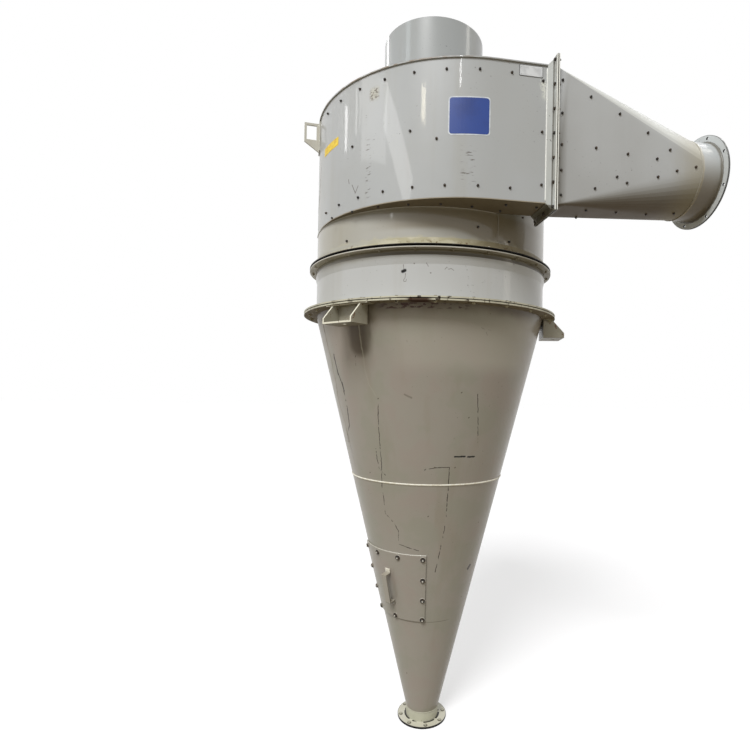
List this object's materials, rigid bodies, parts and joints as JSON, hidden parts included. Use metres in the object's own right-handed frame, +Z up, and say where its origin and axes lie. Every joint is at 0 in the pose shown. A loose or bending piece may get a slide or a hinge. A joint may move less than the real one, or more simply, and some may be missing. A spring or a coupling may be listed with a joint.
{
  "type": "cyclone separator",
  "caption": "Involute dust cyclone of painted steel sheet, with a bolted barrel, a long cone, an access door and a square-to-round flanged inlet.",
  "frame": {"origin": "centre of the discharge flange's underside, on the barrel's axis", "axes": "+Z up the axis of the barrel and the cone, +X along the inlet duct and out of it"},
  "size_m": [1.8176, 1.5791, 3.66],
  "materials": {
    "head_paint": "gloss grey enamel, worn",
    "spacer_paint": "gloss light grey enamel",
    "cone_paint": "gloss taupe grey enamel, scratched",
    "ring_paint": "enamel with rust and dust at the joints",
    "trim_paint": "grey enamel",
    "bead": "white sealant",
    "seal": "black rubber sheet"
  },
  "bodies": {
    "root": {"outlet_stub": "head_paint", "vortex_finder": "head_paint", "roof_plate": "head_paint", "scroll_wall": "head_paint", "scroll_floor": "head_paint", "inlet_inner_wall": "head_paint", "upper_barrel": "head_paint", "upper_barrel_ring": "trim_paint", "upper_gasket": "seal", "lower_barrel_top_ring": "trim_paint", "lower_barrel": "spacer_paint", "lower_barrel_bottom_ring": "ring_paint", "lower_gasket": "seal", "cone_top_ring": "ring_paint", "cone_upper": "cone_paint", "cone_seam_bead": "bead", "cone_lower": "cone_paint", "discharge_collar": "spacer_paint", "discharge_flange": "trim_paint", "discharge_gasket": "seal", "support_bracket_1": "ring_paint", "support_bracket_2": "ring_paint", "support_bracket_3": "ring_paint", "access_door": "cone_paint", "access_door_gasket": "seal", "door_handle": "cone_paint", "inlet_duct_frame": "trim_paint", "inlet_gasket": "seal", "transition_frame": "trim_paint", "transition_body": "head_paint", "transition_collar": "head_paint", "inlet_round_flange": "trim_paint", "lifting_lug_left": "trim_paint", "lifting_lug_right": "trim_paint"}
  },
  "joints": []
}
